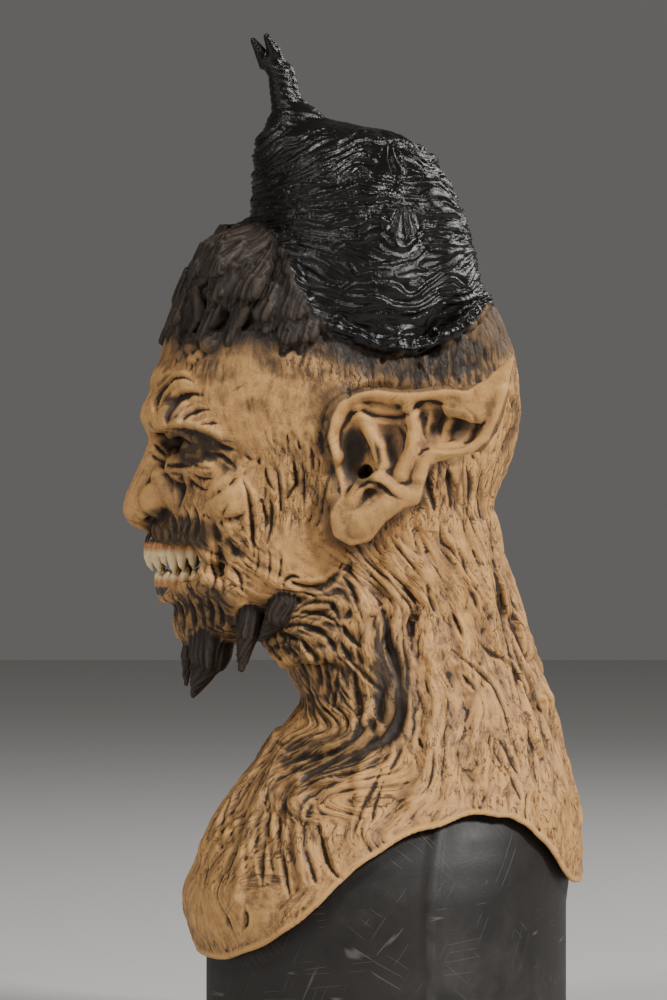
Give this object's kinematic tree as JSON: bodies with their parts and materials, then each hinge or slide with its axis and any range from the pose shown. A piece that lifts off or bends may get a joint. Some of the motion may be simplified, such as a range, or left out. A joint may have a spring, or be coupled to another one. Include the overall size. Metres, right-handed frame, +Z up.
{
  "type": "silicone demon mask on a display form",
  "caption": "Full-head horned demon mask of painted silicone with bun, fangs and shoulder bib, standing on a hollow torso form.",
  "frame": {"origin": "centre of the bounding box at the height of the form's foot", "axes": "+Z up, the face looks towards -Y, the mask's left side is +X"},
  "size_m": [0.2905, 0.3024, 0.6753],
  "materials": {
    "painted_silicone": "ochre silicone skin with a dark brown wash in the creases, charcoal horn and hair slabs, glossy black hair bun",
    "tooth_resin": "glossy ivory dental resin, browner at the roots",
    "dark_moulded_plastic": "dark grey-brown moulded plastic, scuffed and scratched"
  },
  "bodies": {
    "root": {"mask_skin": "painted_silicone", "upper_teeth": "tooth_resin", "lower_teeth": "tooth_resin", "display_form": "dark_moulded_plastic"}
  },
  "joints": []
}
